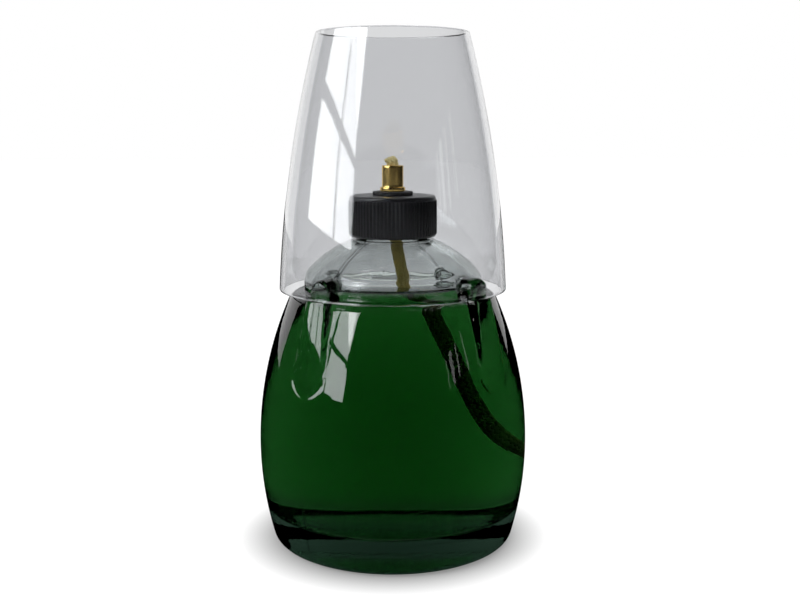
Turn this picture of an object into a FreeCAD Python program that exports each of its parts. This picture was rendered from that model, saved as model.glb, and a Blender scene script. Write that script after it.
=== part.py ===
import FreeCAD, Part
import Sketcher

import math
import os

# Oil lamp with a loose glass chimney. Millimetres and degrees, +Z up.
# The origin is on the table, at the middle of the bottle's base, and the front is -Y.

doc = FreeCAD.newDocument("oil_lamp")
Vector = FreeCAD.Vector

# Driving dimensions
SIZES = {
    # glass bottle, outside
    "base_radius": 41.7,
    "barrel_radius": 46.7,
    "barrel_height": 34.0,
    "shoulder_radius": 34.8,
    "shoulder_height": 87.4,
    "band_radius": 30.6,
    "dome_foot": 93.2,
    "dome_curve": 40.0,
    "dome_top_radius": 14.0,
    "dome_top": 105.0,
    "neck_radius": 12.6,
    "bottle_height": 117.4,
    "heel_fillet": 2.4,
    "shoulder_fillet": 4.0,
    "crease_fillet": 1.0,
    "dome_fillet": 5.0,
    "neck_fillet": 0.9,
    "lip_fillet": 0.8,
    "push_up_radius": 33.0,
    "push_up_height": 2.2,
    # glass bottle, inside
    "glass_wall": 2.4,
    "floor_thickness": 11.5,
    "floor_fillet": 8.0,
    "inner_fillet": 2.0,
    "mouth_radius": 9.0,
    # four lugs that carry the chimney
    "lug_turn": 45.0,
    "lug_rise": 6.7,
    "lug_head_radius": 4.4,
    "lug_tail_radius": 6.6,
    "lug_bottom": 57.0,
    "lug_crown": 10.5,
    "lug_curve": 220.0,
    "lug_ledge": 0.2,
    "lug_gap": 0.4,
    # chimney
    "seat_height": 87.9,
    "chimney_height": 86.5,
    "chimney_foot_radius": 39.1,
    "chimney_top_radius": 25.8,
    "chimney_curve": 413.0,
    "chimney_wall": 1.4,
    "chimney_lip": 0.5,
    # screw cap and its seal
    "cap_radius": 15.15,
    "cap_height": 13.9,
    "cap_wall": 1.5,
    "cap_roof": 1.6,
    "cap_edge": 1.0,
    "rib_count": 72.0,
    "rib_radius": 0.48,
    "rib_depth": 0.38,
    "rib_start": 0.6,
    "rib_stop": 1.5,
    "liner_thickness": 1.0,
    "liner_gap": 0.25,
    "liner_overlap": 1.0,
    # brass burner
    "washer_radius": 6.9,
    "washer_thickness": 1.3,
    "washer_edge": 0.3,
    "burner_radius": 3.7,
    "burner_height": 8.8,
    "burner_bore": 2.75,
    "burner_edge": 0.35,
    "flange_radius": 4.35,
    "flange_thickness": 1.5,
    "shank_radius": 3.5,
    "shank_end": 0.4,
    "shank_gap": 0.1,
    "nut_flats": 10.0,
    "nut_height": 3.0,
    # wick and oil
    "wick_radius": 2.2,
    "wick_rise": 3.2,
    "wick_gap": 0.4,
    "fill_height": 90.0,
    "fill_gap": 0.15,
}

# Sizes that follow from the driving ones: curves, seats and fits
FITS = {
    # outside curves of the barrel, both upright at its widest ring
    "lower_bulge": "barrel_radius - base_radius",
    "lower_curve": "(barrel_height^2 + lower_bulge^2) / (2 * lower_bulge)",
    "upper_rise": "shoulder_height - barrel_height",
    "upper_bulge": "barrel_radius - shoulder_radius",
    "upper_curve": "(upper_rise^2 + upper_bulge^2) / (2 * upper_bulge)",
    "push_up_curve": "(push_up_radius^2 + push_up_height^2) / (2 * push_up_height)",
    # chimney
    "chimney_top": "seat_height + chimney_height",
    "chimney_foot_inner": "chimney_foot_radius - chimney_wall",
    "chimney_top_inner": "chimney_top_radius - chimney_wall",
    "chimney_curve_inner": "chimney_curve - chimney_wall",
    "chimney_taper": "chimney_foot_radius - chimney_top_radius",
    "chimney_chord": "sqrt(chimney_height^2 + chimney_taper^2)",
    "chimney_depth": "sqrt(chimney_curve^2 - chimney_chord^2 / 4)",
    "chimney_centre": "(chimney_foot_radius + chimney_top_radius) / 2"
    " - chimney_depth * chimney_height / chimney_chord",
    "chimney_centre_height": "seat_height + chimney_height / 2"
    " - chimney_depth * chimney_taper / chimney_chord",
    # lugs: the head centres the chimney, the ledge under it carries the rim
    "lug_top": "seat_height + lug_rise",
    "lug_reach": "chimney_centre - lug_gap"
    " + sqrt(chimney_curve_inner^2 - (lug_top - chimney_centre_height)^2)",
    "ledge_reach": "chimney_foot_radius + lug_ledge",
    "lug_axis": "lug_reach - lug_crown",
    "lug_tail": "barrel_radius - upper_curve + sqrt(upper_curve^2 - (lug_bottom - barrel_height)^2)",
    "lug_head_centre": "lug_top - lug_head_radius",
    "lug_tail_centre": "lug_bottom + lug_tail_radius",
    # screw cap on its seal, on the lip
    "liner_top": "bottle_height + liner_thickness",
    "cap_top": "liner_top + cap_roof",
    "cap_foot": "cap_top - cap_height",
    "skirt_radius": "cap_radius - rib_depth",
    "cap_bore": "skirt_radius - cap_wall",
    "rib_centre": "cap_radius - rib_radius",
    "rib_foot": "cap_foot + rib_start",
    "rib_length": "cap_height - rib_start - rib_stop",
    "liner_radius": "cap_bore - liner_gap",
    "liner_hole": "mouth_radius - liner_overlap",
    # burner through the roof of the cap
    "shank_hole": "shank_radius + shank_gap",
    "washer_top": "cap_top + washer_thickness",
    "flange_top": "washer_top + flange_thickness",
    "burner_top": "washer_top + burner_height",
    "nut_foot": "liner_top - nut_height",
    "nut_corner": "nut_flats / sqrt(3)",
    "shank_foot": "nut_foot - shank_end",
    "wick_tip": "burner_top + wick_rise",
}


def hollow(prefix, wall):
    """Sizes of a fill that lies everywhere one wall inside the bottle's outside."""
    return {
        prefix + "_floor": f"floor_thickness + {wall} - glass_wall",
        prefix + "_lower_curve": f"lower_curve - ({wall})",
        prefix + "_upper_curve": f"upper_curve - ({wall})",
        prefix + "_widest": f"barrel_radius - ({wall})",
        prefix + "_foot": f"barrel_radius - lower_curve + sqrt({prefix}_lower_curve^2"
        f" - (barrel_height - {prefix}_floor)^2)",
        prefix + "_shoulder": f"shoulder_height - ({wall})",
        prefix + "_top": f"barrel_radius - upper_curve + sqrt({prefix}_upper_curve^2"
        f" - ({prefix}_shoulder - barrel_height)^2)",
        prefix + "_band": f"band_radius - ({wall})",
    }


FITS.update(hollow("cavity", "glass_wall"))
FITS.update(hollow("oil", "glass_wall + fill_gap"))
FITS["cavity_dome_foot"] = "dome_foot - glass_wall / 2"
FITS["cavity_dome_top"] = "dome_top - glass_wall / 2"


def fill_sheet(name, cells):
    """A spreadsheet with one named cell a row: a plain number or a formula."""
    sheet = doc.addObject("Spreadsheet::Sheet", name)
    for row, (alias, content) in enumerate(cells.items(), start=1):
        sheet.set(f"A{row}", alias)
        sheet.set(f"B{row}", str(content))
        sheet.setAlias(f"B{row}", alias)
    return sheet


def in_sheets(formula):
    """The formula with each size written as sheet.size."""
    text = ""
    word = ""
    for letter in formula + " ":
        if letter.isalnum() or letter == "_":
            word += letter
            continue
        if word in SIZES:
            word = "sizes." + word
        text += word + letter
        word = ""
    return text.strip()


sizes = fill_sheet("sizes", SIZES)
fits = fill_sheet("fits", {alias: "=" + in_sheets(formula) for alias, formula in FITS.items()})
doc.recompute()


def value(alias):
    return float((sizes if alias in SIZES else fits).get(alias))


def link(alias):
    return ("sizes." if alias in SIZES else "fits.") + alias


def point(corner):
    return Vector(*[value(alias) if alias else 0.0 for alias in corner[:2]], 0)


def arc_between(start, end, radius, side):
    """Arc from start to end that bows to the left (side 1) or right (side -1) of the way there."""
    chord = end - start
    left = Vector(-chord.y, chord.x, 0).normalize()
    depth = math.sqrt(radius**2 - (chord.Length / 2) ** 2)
    centre = (start + end) / 2 - left * (side * depth)
    first, last = (start, end) if side < 0 else (end, start)
    turn = [math.atan2(p.y - centre.y, p.x - centre.x) for p in (first, last)]
    circle = Part.Circle(centre, Vector(0, 0, 1), radius)
    return Part.ArcOfCircle(circle, turn[0], turn[1])


def sketch_on(body, name, role):
    """An empty sketch on one of the body's own planes."""
    sketch = body.newObject("Sketcher::SketchObject", name)
    plane = [p for p in body.Origin.OriginFeatures if p.Role == role][0]
    sketch.AttachmentSupport = (plane, [""])
    sketch.MapMode = "FlatFace"
    return sketch


def hold(sketch, kind, name, alias, *where):
    """A dimension of the sketch, bound to a named size."""
    index = sketch.addConstraint(Sketcher.Constraint(kind, *where, value(alias)))
    sketch.renameConstraint(index, name)
    sketch.setExpression("Constraints." + name, link(alias))


def closed_outline(body, name, corners, role="XZ_Plane"):
    """Closed sketch through corners, each (across, up) or (across, up, radius, side) as named sizes.

    The last two make the edge to the next corner an arc, which bows to that side.
    """
    sketch = sketch_on(body, name, role)
    ends = []
    for index, corner in enumerate(corners):
        start = point(corner)
        end = point(corners[(index + 1) % len(corners)])
        if len(corner) == 2:
            geometry = Part.LineSegment(start, end)
            order = (1, 2)
        else:
            geometry = arc_between(start, end, value(corner[2]), corner[3])
            order = (1, 2) if corner[3] < 0 else (2, 1)
        ends.append((sketch.addGeometry(geometry, False), order))
    for index, corner in enumerate(corners):
        edge, order = ends[index]
        following, next_order = ends[(index + 1) % len(ends)]
        sketch.addConstraint(
            Sketcher.Constraint("Coincident", edge, order[1], following, next_order[0])
        )
        for axis, alias, kind in ((-2, corner[0], "DistanceX"), (-1, corner[1], "DistanceY")):
            if alias is None:
                sketch.addConstraint(Sketcher.Constraint("PointOnObject", edge, order[0], axis))
            else:
                hold(sketch, kind, f"{kind}_{index}", alias, -1, 1, edge, order[0])
        if len(corner) == 4:
            hold(sketch, "Radius", f"Radius_{index}", corner[2], edge)
    return sketch


def revolved(body, name, corners):
    """Solid of revolution about the lamp's axis."""
    sketch = closed_outline(body, name + "_profile", corners)
    solid = body.newObject("PartDesign::Revolution", name + "_turned")
    solid.Profile = sketch
    solid.ReferenceAxis = (sketch, ["V_Axis"])
    solid.Angle = 360
    sketch.Visibility = False
    doc.recompute()
    return solid


def ring_edges(shape, corners):
    """Names of the round edges about the axis that pass through the given (radius, height) corners."""
    names = []
    for corner in corners:
        radius, height = (value(alias) if alias else 0.0 for alias in corner)
        for index, edge in enumerate(shape.Edges, start=1):
            if edge.Degenerated or not isinstance(edge.Curve, Part.Circle):
                continue
            circle = edge.Curve
            if abs(circle.Radius - radius) < 1e-4 and abs(circle.Center.z - height) < 1e-4:
                names.append(f"Edge{index}")
    return names


def rounded(body, base, name, radius, corners):
    """Fillet of the round edges at the given corners."""
    fillet = body.newObject("PartDesign::Fillet", name)
    fillet.Base = (base, ring_edges(base.Shape, corners))
    fillet.Radius = value(radius)
    fillet.setExpression("Radius", link(radius))
    doc.recompute()
    return fillet


def new_body(name):
    return doc.addObject("PartDesign::Body", name)


# Bottle: outside of the glass
bottle_outside = new_body("bottle_outside")
feature = revolved(
    bottle_outside,
    "outside",
    [
        (None, "push_up_height", "push_up_curve", 1),
        ("push_up_radius", None),
        ("base_radius", None, "lower_curve", -1),
        ("barrel_radius", "barrel_height", "upper_curve", -1),
        ("shoulder_radius", "shoulder_height"),
        ("band_radius", "shoulder_height"),
        ("band_radius", "dome_foot", "dome_curve", -1),
        ("dome_top_radius", "dome_top"),
        ("neck_radius", "dome_top"),
        ("neck_radius", "bottle_height"),
        (None, "bottle_height"),
    ],
)
for name, radius, corner in (
    ("heel", "heel_fillet", ("base_radius", None)),
    ("shoulder", "shoulder_fillet", ("shoulder_radius", "shoulder_height")),
    ("crease", "crease_fillet", ("band_radius", "shoulder_height")),
    ("dome_edge", "dome_fillet", ("band_radius", "dome_foot")),
    ("neck_root", "neck_fillet", ("neck_radius", "dome_top")),
    ("lip", "lip_fillet", ("neck_radius", "bottle_height")),
):
    feature = rounded(bottle_outside, feature, name, radius, [corner])

# Bottle: one lug. Its face is crowned about an upright line, and its outline is a tapered slot.
lug_face = new_body("lug_face")
face_profile = closed_outline(
    lug_face,
    "lug_profile",
    [
        ("lug_axis", "lug_bottom"),
        ("lug_tail", "lug_bottom", "lug_curve", -1),
        ("ledge_reach", "seat_height"),
        ("lug_reach", "seat_height"),
        ("lug_reach", "lug_top"),
        ("lug_axis", "lug_top"),
    ],
)
face_turned = lug_face.newObject("PartDesign::Revolution", "lug_face_turned")
face_turned.Profile = face_profile
face_turned.ReferenceAxis = (face_profile, ["Edge6"])
face_turned.Angle = 180
face_turned.Midplane = True
face_profile.Visibility = False

lug_slot = new_body("lug_slot")
slot = sketch_on(lug_slot, "lug_outline", "YZ_Plane")
head = Part.Circle(Vector(0, value("lug_head_centre"), 0), Vector(0, 0, 1), value("lug_head_radius"))
tail = Part.Circle(Vector(0, value("lug_tail_centre"), 0), Vector(0, 0, 1), value("lug_tail_radius"))
slot.addGeometry(Part.ArcOfCircle(head, 0, math.pi), False)
slot.addGeometry(Part.ArcOfCircle(tail, math.pi, 2 * math.pi), False)
for side in (-1, 1):
    top = Vector(side * value("lug_head_radius"), value("lug_head_centre"), 0)
    bottom = Vector(side * value("lug_tail_radius"), value("lug_tail_centre"), 0)
    slot.addGeometry(Part.LineSegment(top, bottom), False)
for arc in (0, 1):
    slot.addConstraint(Sketcher.Constraint("PointOnObject", arc, 3, -2))
hold(slot, "Radius", "head_radius", "lug_head_radius", 0)
hold(slot, "Radius", "tail_radius", "lug_tail_radius", 1)
hold(slot, "DistanceY", "head_height", "lug_head_centre", -1, 1, 0, 3)
hold(slot, "DistanceY", "tail_height", "lug_tail_centre", -1, 1, 1, 3)
for line, head_end, tail_end in ((2, 2, 1), (3, 1, 2)):
    slot.addConstraint(Sketcher.Constraint("Tangent", 0, head_end, line, 1))
    slot.addConstraint(Sketcher.Constraint("Tangent", 1, tail_end, line, 2))
slot_pad = lug_slot.newObject("PartDesign::Pad", "lug_pad")
slot_pad.Profile = slot
slot_pad.setExpression("Length", "sizes.barrel_radius")
slot.Visibility = False

for body in (lug_face, lug_slot):
    body.Placement = FreeCAD.Placement(Vector(), FreeCAD.Rotation(Vector(0, 0, 1), value("lug_turn")))
    body.setExpression("Placement.Rotation.Angle", "sizes.lug_turn")
lug = doc.addObject("Part::MultiCommon", "lug")
lug.Shapes = [lug_face, lug_slot]


def mirrored(name, source, normal):
    mirror = doc.addObject("Part::Mirroring", name)
    mirror.Source = source
    mirror.Normal = normal
    return mirror


lug_left = mirrored("lug_left", lug, Vector(1, 0, 0))
lug_front = mirrored("lug_front", lug, Vector(0, 1, 0))
lug_left_front = mirrored("lug_left_front", lug_left, Vector(0, 1, 0))
blank = doc.addObject("Part::MultiFuse", "bottle_blank")
blank.Shapes = [bottle_outside, lug, lug_left, lug_front, lug_left_front]

# Bottle: inside of the glass, one wall in
cavity = new_body("cavity")
feature = revolved(
    cavity,
    "cavity",
    [
        (None, "cavity_floor"),
        ("cavity_foot", "cavity_floor", "cavity_lower_curve", -1),
        ("cavity_widest", "barrel_height", "cavity_upper_curve", -1),
        ("cavity_top", "cavity_shoulder"),
        ("cavity_band", "cavity_shoulder"),
        ("cavity_band", "cavity_dome_foot", "dome_curve", -1),
        ("mouth_radius", "cavity_dome_top"),
        ("mouth_radius", "bottle_height"),
        (None, "bottle_height"),
    ],
)
for name, radius, corner in (
    ("cavity_corner", "floor_fillet", ("cavity_foot", "cavity_floor")),
    ("cavity_shoulder_edge", "inner_fillet", ("cavity_top", "cavity_shoulder")),
    ("cavity_crease", "inner_fillet", ("cavity_band", "cavity_shoulder")),
    ("cavity_dome_edge", "inner_fillet", ("cavity_band", "cavity_dome_foot")),
):
    feature = rounded(cavity, feature, name, radius, [corner])
bottle = doc.addObject("Part::Cut", "bottle")
bottle.Base = blank
bottle.Tool = cavity

# Chimney: thin tapered wall that bows outwards, with melted round lips
chimney = new_body("chimney")
feature = revolved(
    chimney,
    "chimney",
    [
        ("chimney_foot_inner", "seat_height"),
        ("chimney_foot_radius", "seat_height", "chimney_curve", -1),
        ("chimney_top_radius", "chimney_top"),
        ("chimney_top_inner", "chimney_top", "chimney_curve_inner", 1),
    ],
)
rounded(
    chimney,
    feature,
    "chimney_lips",
    "chimney_lip",
    [
        ("chimney_foot_radius", "seat_height"),
        ("chimney_top_radius", "chimney_top"),
        ("chimney_top_inner", "chimney_top"),
    ],
)

# Screw cap: a cup with a hole in its roof, and fine grip ribs round its skirt
screw_cap = new_body("screw_cap")
feature = revolved(
    screw_cap,
    "cap",
    [
        ("shank_hole", "liner_top"),
        ("cap_bore", "liner_top"),
        ("cap_bore", "cap_foot"),
        ("skirt_radius", "cap_foot"),
        ("skirt_radius", "cap_top"),
        ("shank_hole", "cap_top"),
    ],
)
feature = rounded(screw_cap, feature, "cap_rim", "cap_edge", [("skirt_radius", "cap_top")])
rib_section = sketch_on(screw_cap, "rib_section", "XY_Plane")
rib_section.AttachmentOffset = FreeCAD.Placement(Vector(0, 0, value("rib_foot")), FreeCAD.Rotation())
rib_section.setExpression("AttachmentOffset.Base.z", "fits.rib_foot")
rib_circle = Part.Circle(Vector(value("rib_centre"), 0, 0), Vector(0, 0, 1), value("rib_radius"))
rib_section.addGeometry(rib_circle, False)
rib_section.addConstraint(Sketcher.Constraint("PointOnObject", 0, 3, -1))
hold(rib_section, "DistanceX", "rib_centre", "rib_centre", -1, 1, 0, 3)
hold(rib_section, "Radius", "rib_radius", "rib_radius", 0)
rib = screw_cap.newObject("PartDesign::Pad", "rib")
rib.Profile = rib_section
rib.setExpression("Length", "fits.rib_length")
rib_section.Visibility = False
doc.recompute()
ribs = screw_cap.newObject("PartDesign::PolarPattern", "ribs")
ribs.Originals = [rib]
ribs.Axis = ([a for a in screw_cap.Origin.OriginFeatures if a.Role == "Z_Axis"][0], [""])
ribs.Angle = 360
ribs.Occurrences = round(value("rib_count"))
ribs.setExpression("Occurrences", "sizes.rib_count")
screw_cap.Tip = ribs

# Seal ring under the roof of the cap, which lies on the lip of the bottle
cap_liner = new_body("cap_liner")
revolved(
    cap_liner,
    "liner",
    [
        ("liner_hole", "bottle_height"),
        ("liner_radius", "bottle_height"),
        ("liner_radius", "liner_top"),
        ("liner_hole", "liner_top"),
    ],
)

# Black washer between the cap and the brass foot
top_washer = new_body("top_washer")
feature = revolved(
    top_washer,
    "washer",
    [
        ("shank_hole", "cap_top"),
        ("washer_radius", "cap_top"),
        ("washer_radius", "washer_top"),
        ("shank_hole", "washer_top"),
    ],
)
rounded(top_washer, feature, "washer_rim", "washer_edge", [("washer_radius", "washer_top")])

# Brass wick tube: tube, foot flange and the shank that goes through the cap
burner_tube = new_body("burner_tube")
feature = revolved(
    burner_tube,
    "burner",
    [
        ("burner_bore", "shank_foot"),
        ("shank_radius", "shank_foot"),
        ("shank_radius", "washer_top"),
        ("flange_radius", "washer_top"),
        ("flange_radius", "flange_top"),
        ("burner_radius", "flange_top"),
        ("burner_radius", "burner_top"),
        ("burner_bore", "burner_top"),
    ],
)
rounded(
    burner_tube,
    feature,
    "burner_rims",
    "burner_edge",
    [
        ("burner_radius", "burner_top"),
        ("burner_bore", "burner_top"),
        ("flange_radius", "flange_top"),
        ("flange_radius", "washer_top"),
    ],
)

# Hexagon nut on the shank, against the underside of the cap
nut_blank = doc.addObject("Part::Prism", "nut_blank")
nut_blank.Polygon = 6
nut_bore = doc.addObject("Part::Cylinder", "nut_bore")
for solid in (nut_blank, nut_bore):
    solid.setExpression("Height", "sizes.nut_height")
    solid.setExpression("Placement.Base.z", "fits.nut_foot")
nut_blank.setExpression("Circumradius", "fits.nut_corner")
nut_bore.setExpression("Radius", "fits.shank_hole")
lock_nut = doc.addObject("Part::Cut", "lock_nut")
lock_nut.Base = nut_blank
lock_nut.Tool = nut_bore

# Wick: a limp round cord, straight through the tube, then down and across into the oil.
# Its points are chosen by hand; each bend is as large as its two runs allow.
WICK_POINTS = [
    Vector(0.0, 0.0, value("wick_tip")),
    Vector(0.0, 0.0, 106.0),
    Vector(7.2, 7.3, 80.0),
    Vector(15.5, 9.6, 60.0),
    Vector(23.0, 9.3, 45.5),
    Vector(33.7, 5.8, 36.0),
    Vector(40.8, 1.1, 33.0),
]
BEND_SHARE = 0.45


def route_wire(points):
    """Straight runs joined by tangent arcs, and the radii of those bends."""
    edges = []
    radii = []
    here = points[0]
    for before, corner, after in zip(points, points[1:], points[2:]):
        back = (before - corner).normalize()
        ahead = (after - corner).normalize()
        half_turn = (math.pi - back.getAngle(ahead)) / 2
        reach = BEND_SHARE * min((before - corner).Length, (after - corner).Length)
        radius = reach / math.tan(half_turn)
        inwards = (back + ahead).normalize()
        middle = corner + inwards * (radius / math.cos(half_turn) - radius)
        first = corner + back * reach
        last = corner + ahead * reach
        edges.append(Part.LineSegment(here, first).toShape())
        edges.append(Part.Arc(first, middle, last).toShape())
        radii.append(radius)
        here = last
    edges.append(Part.LineSegment(here, points[-1]).toShape())
    wire = Part.Wire(edges)
    return wire, radii


def tube_along(points, radius):
    """Round tube along a route whose first run goes straight down."""
    ring = Part.Wire([Part.makeCircle(radius, points[0], Vector(0, 0, -1))])
    return route_wire(points)[0].makePipeShell([ring], True, True)


wick = doc.addObject("Part::Feature", "wick")
wick.Shape = tube_along(WICK_POINTS, value("wick_radius"))
wick_wire, wick_radii = route_wire(WICK_POINTS)
wick_length = wick_wire.Length
wick_share = wick.Shape.Volume / (math.pi * value("wick_radius") ** 2 * wick_length)
print("wick length", round(wick_length, 1), "bend radii", [round(r, 1) for r in wick_radii])
print("wick volume over section times length", round(wick_share, 4))

# Lamp oil: the fill inside the glass, with room for the wick
oil_body = new_body("oil_body")
feature = revolved(
    oil_body,
    "oil",
    [
        (None, "oil_floor"),
        ("oil_foot", "oil_floor", "oil_lower_curve", -1),
        ("oil_widest", "barrel_height", "oil_upper_curve", -1),
        ("oil_top", "oil_shoulder"),
        ("oil_band", "oil_shoulder"),
        ("oil_band", "fill_height"),
        (None, "fill_height"),
    ],
)
for name, radius, corner in (
    ("oil_corner", "floor_fillet", ("oil_foot", "oil_floor")),
    ("oil_shoulder_edge", "inner_fillet", ("oil_top", "oil_shoulder")),
    ("oil_crease", "inner_fillet", ("oil_band", "oil_shoulder")),
):
    feature = rounded(oil_body, feature, name, radius, [corner])
last_run = (WICK_POINTS[-1] - WICK_POINTS[-2]).normalize()
room_points = WICK_POINTS[:-1] + [WICK_POINTS[-1] + last_run * value("wick_gap")]
wick_room = doc.addObject("Part::Feature", "wick_room")
wick_room.Shape = tube_along(room_points, value("wick_radius") + value("wick_gap"))
lamp_oil = doc.addObject("Part::Cut", "lamp_oil")
lamp_oil.Base = oil_body
lamp_oil.Tool = wick_room

doc.recompute()

PIECES = [
    bottle,
    lamp_oil,
    screw_cap,
    cap_liner,
    top_washer,
    burner_tube,
    lock_nut,
    wick,
    chimney,
]
for piece in PIECES:
    piece.Label = piece.Name

failed = [o.Name for o in doc.Objects if {"Invalid", "Error"} & set(o.State)]
if failed:
    raise RuntimeError(f"these objects failed to build: {failed}")
for piece in PIECES:
    shape = piece.Shape
    if shape.isNull() or not shape.isValid() or len(shape.Solids) != 1:
        raise RuntimeError(f"{piece.Label} is not one valid solid")

os.makedirs("parts", exist_ok=True)
for piece in PIECES:
    piece.Shape.exportStep(f"parts/{piece.Label}.step")
    box = piece.Shape.BoundBox
    print(
        piece.Label,
        f"{box.XLength:.1f} x {box.YLength:.1f} x {box.ZLength:.1f} mm,",
        f"{piece.Shape.Volume / 1000:.2f} cm3, {len(piece.Shape.Faces)} faces",
    )
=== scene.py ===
# %% [markdown]
# An oil lamp: a clear glass bottle of green lamp oil, a black screw cap with a brass wick tube, a round
# braided wick that hangs into the oil, and a loose glass chimney on four lugs of the bottle.
# The CAD solids are loaded as a fixed frame. Their facets would show in clear glass, so each piece is
# modelled again here as a smooth mesh in the same place, and stands for its CAD node.

# %% Load the frame
import bpy
import math
import numpy as np
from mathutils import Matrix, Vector


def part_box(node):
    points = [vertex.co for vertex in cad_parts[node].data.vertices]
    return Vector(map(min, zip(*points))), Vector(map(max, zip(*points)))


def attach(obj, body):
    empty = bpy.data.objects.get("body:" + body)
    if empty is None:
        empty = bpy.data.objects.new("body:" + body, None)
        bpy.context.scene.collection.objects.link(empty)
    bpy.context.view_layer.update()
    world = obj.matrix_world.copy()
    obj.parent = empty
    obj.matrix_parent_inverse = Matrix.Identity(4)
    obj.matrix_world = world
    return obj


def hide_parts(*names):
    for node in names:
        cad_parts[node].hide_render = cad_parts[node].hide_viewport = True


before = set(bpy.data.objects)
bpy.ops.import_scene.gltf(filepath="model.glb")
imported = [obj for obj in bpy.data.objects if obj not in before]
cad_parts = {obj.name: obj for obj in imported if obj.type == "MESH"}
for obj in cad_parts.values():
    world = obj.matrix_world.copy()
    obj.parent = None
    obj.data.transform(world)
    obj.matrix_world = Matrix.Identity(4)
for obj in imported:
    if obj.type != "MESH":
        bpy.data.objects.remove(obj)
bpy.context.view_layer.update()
MM = 0.001

# %% [markdown]
# The camera comes first, because every later choice is judged through it. The photograph looks down on
# the lamp by about nine degrees from arm's length. A small step to the right puts the lamp's axis a
# little left of the middle of the picture, so the lens needs no shift.

# %% Camera
PICTURE_WIDTH = 800
FOCAL_PIXELS = 1070
SENSOR = 36.0
CAMERA_TURN = math.radians(-5.5)
CAMERA_PITCH = math.radians(9.35)
CAMERA_DISTANCE = 367.5 * MM
CAMERA_HEIGHT = 144.1 * MM
CAMERA_STEP = 2.5 * MM

towards_camera = Vector((math.sin(CAMERA_TURN), -math.cos(CAMERA_TURN), 0))
camera_right = Vector((math.cos(CAMERA_TURN), math.sin(CAMERA_TURN), 0))
lens = bpy.data.cameras.new("camera")
lens.sensor_width = SENSOR
lens.lens = SENSOR * FOCAL_PIXELS / PICTURE_WIDTH
lens.clip_start = 0.01
camera = bpy.data.objects.new("camera", lens)
bpy.context.scene.collection.objects.link(camera)
camera.location = towards_camera * CAMERA_DISTANCE + camera_right * CAMERA_STEP
camera.location.z = CAMERA_HEIGHT
camera.rotation_euler = (math.pi / 2 - CAMERA_PITCH, 0, CAMERA_TURN)
bpy.context.scene.camera = camera
print("lens", round(lens.lens, 2), "mm")

# %% [markdown]
# Nearly every piece of the lamp is round about one upright axis. Such a piece is turned on a lathe: its
# outline is drawn with extrude, point by point, and spun through a full turn. The outline helpers work
# in millimetres, as (radius, height): arcs are sampled finely, and corners are softened afterwards.

# %% Outline helpers


def arc(start, end, radius, side, spacing=0.4):
    """Points from start to end on an arc that bows to the left (side 1) or right (side -1)."""
    a, b = np.array(start, float), np.array(end, float)
    chord = b - a
    length = np.hypot(*chord)
    left = np.array([-chord[1], chord[0]]) / length
    centre = (a + b) / 2 - left * side * math.sqrt(radius**2 - length**2 / 4)
    turn = 2 * math.asin(length / 2 / radius)
    count = max(2, math.ceil(turn * radius / spacing))
    first = math.atan2(*(a - centre)[::-1])
    angles = first - side * np.linspace(0, turn, count + 1)
    return [tuple(centre + radius * np.array([math.cos(t), math.sin(t)])) for t in angles]


def line(start, end, spacing=0.4):
    """Points along a straight stretch."""
    a, b = np.array(start, float), np.array(end, float)
    count = max(1, math.ceil(np.hypot(*(b - a)) / spacing))
    return [tuple(a + (b - a) * t) for t in np.linspace(0, 1, count + 1)]


def joined(*stretches):
    """One outline from stretches that meet end to end."""
    points = []
    for stretch in stretches:
        points += [p for p in stretch if not points or math.dist(p, points[-1]) > 1e-6]
    return points


def softened(points, corners, steps=6):
    """The outline with each (corner, reach) rounded by a curve that starts and ends at that reach."""
    for corner, reach in corners:
        outline = np.array(points)
        at = np.argmin(np.hypot(*(outline - corner).T))
        away = np.concatenate([[0], np.cumsum(np.hypot(*np.diff(outline, axis=0).T))])
        away = away - away[at]
        before = [np.interp(-reach, away, outline[:, k]) for k in (0, 1)]
        after = [np.interp(reach, away, outline[:, k]) for k in (0, 1)]
        t = np.linspace(0, 1, steps + 1)[:, None]
        bend = (1 - t) ** 2 * before + 2 * t * (1 - t) * outline[at] + t**2 * after
        points = joined(outline[away < -reach], bend, outline[away > reach])
    return [tuple(p) for p in points]


print("a quarter turn of 10 mm radius takes", len(arc((10, 0), (0, 10), 10, -1)), "points")

# %% [markdown]
# The lathe itself. A plane merged to one point is the start of the outline, extrude draws the rest, and
# spin turns it. Points on the axis fall together, so doubles are merged before the normals are made to
# point outwards. An outline that comes back to its first point makes a ring.

# %% Lathe


def deselect_all():
    if bpy.context.object and bpy.context.object.mode != "OBJECT":
        bpy.ops.object.mode_set(mode="OBJECT")
    bpy.ops.object.select_all(action="DESELECT")


def turned(name, outline, steps, smooth=40):
    """A piece turned about the lamp's axis from an outline in millimetres."""
    deselect_all()
    bpy.ops.mesh.primitive_plane_add(size=MM)
    piece = bpy.context.object
    piece.name = piece.data.name = name
    bpy.ops.object.mode_set(mode="EDIT")
    bpy.ops.mesh.merge(type="CENTER")
    here = Vector((0, 0, 0))
    for number, (radius, height) in enumerate(outline):
        there = Vector((radius, 0, height)) * MM
        if number:
            bpy.ops.mesh.extrude_region_move(TRANSFORM_OT_translate={"value": there - here})
        else:
            bpy.ops.transform.translate(value=there)
        here = there
    bpy.ops.mesh.select_all(action="SELECT")
    bpy.ops.mesh.spin(steps=steps, angle=2 * math.pi, center=(0, 0, 0), axis=(0, 0, 1))
    bpy.ops.mesh.select_all(action="SELECT")
    bpy.ops.mesh.remove_doubles(threshold=1e-7)
    bpy.ops.mesh.normals_make_consistent(inside=False)
    bpy.ops.object.mode_set(mode="OBJECT")
    bpy.ops.object.shade_smooth_by_angle(angle=math.radians(smooth))
    print(name, len(piece.data.polygons), "faces")
    return piece


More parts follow.
